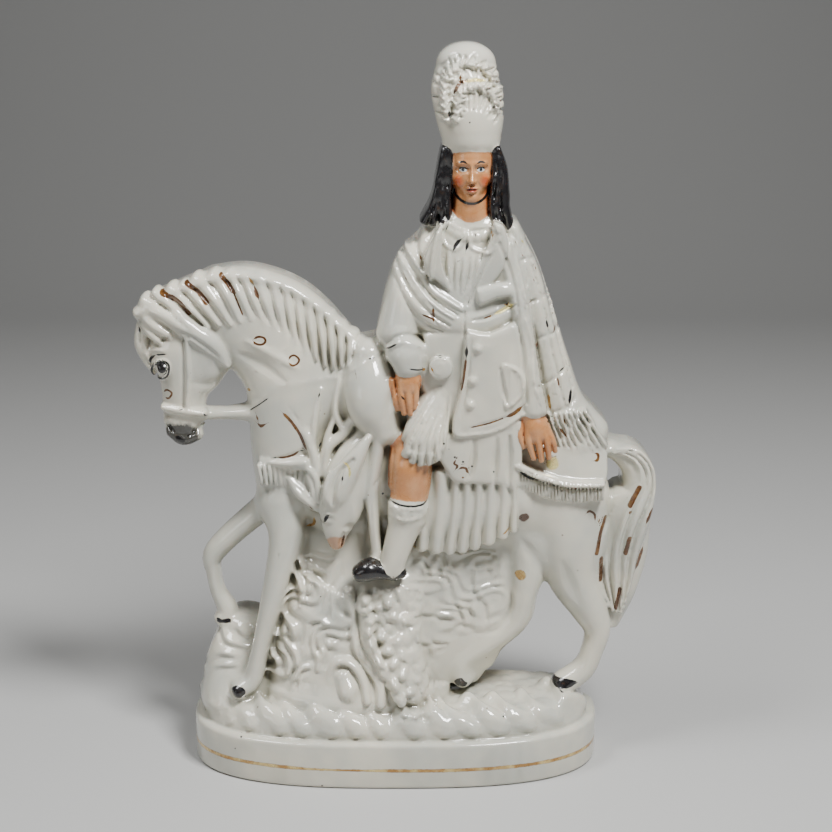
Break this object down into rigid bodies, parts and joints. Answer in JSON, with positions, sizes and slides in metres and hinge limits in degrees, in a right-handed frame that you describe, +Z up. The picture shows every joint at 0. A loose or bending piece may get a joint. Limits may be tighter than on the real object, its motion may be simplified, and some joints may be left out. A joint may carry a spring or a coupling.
{
  "type": "flatback figure",
  "caption": "Flat-backed pottery figure of a Highland rider on a standing horse with a slain deer slung before the saddle, on a rounded rocky base with a plain gilt-lined band.",
  "frame": {"origin": "middle of the underside, on the surface that the base stands on", "axes": "+X to the right seen from the front, so the horse faces -X; +Y to the flat back; +Z up"},
  "size_m": [0.2759, 0.083, 0.3805],
  "materials": {
    "glazed_earthenware": "glossy clear lead glaze over white earthenware, with flesh tints, black enamel and worn gilding painted on the front"
  },
  "bodies": {
    "root": {"flatback_figure": "glazed_earthenware"}
  },
  "joints": []
}
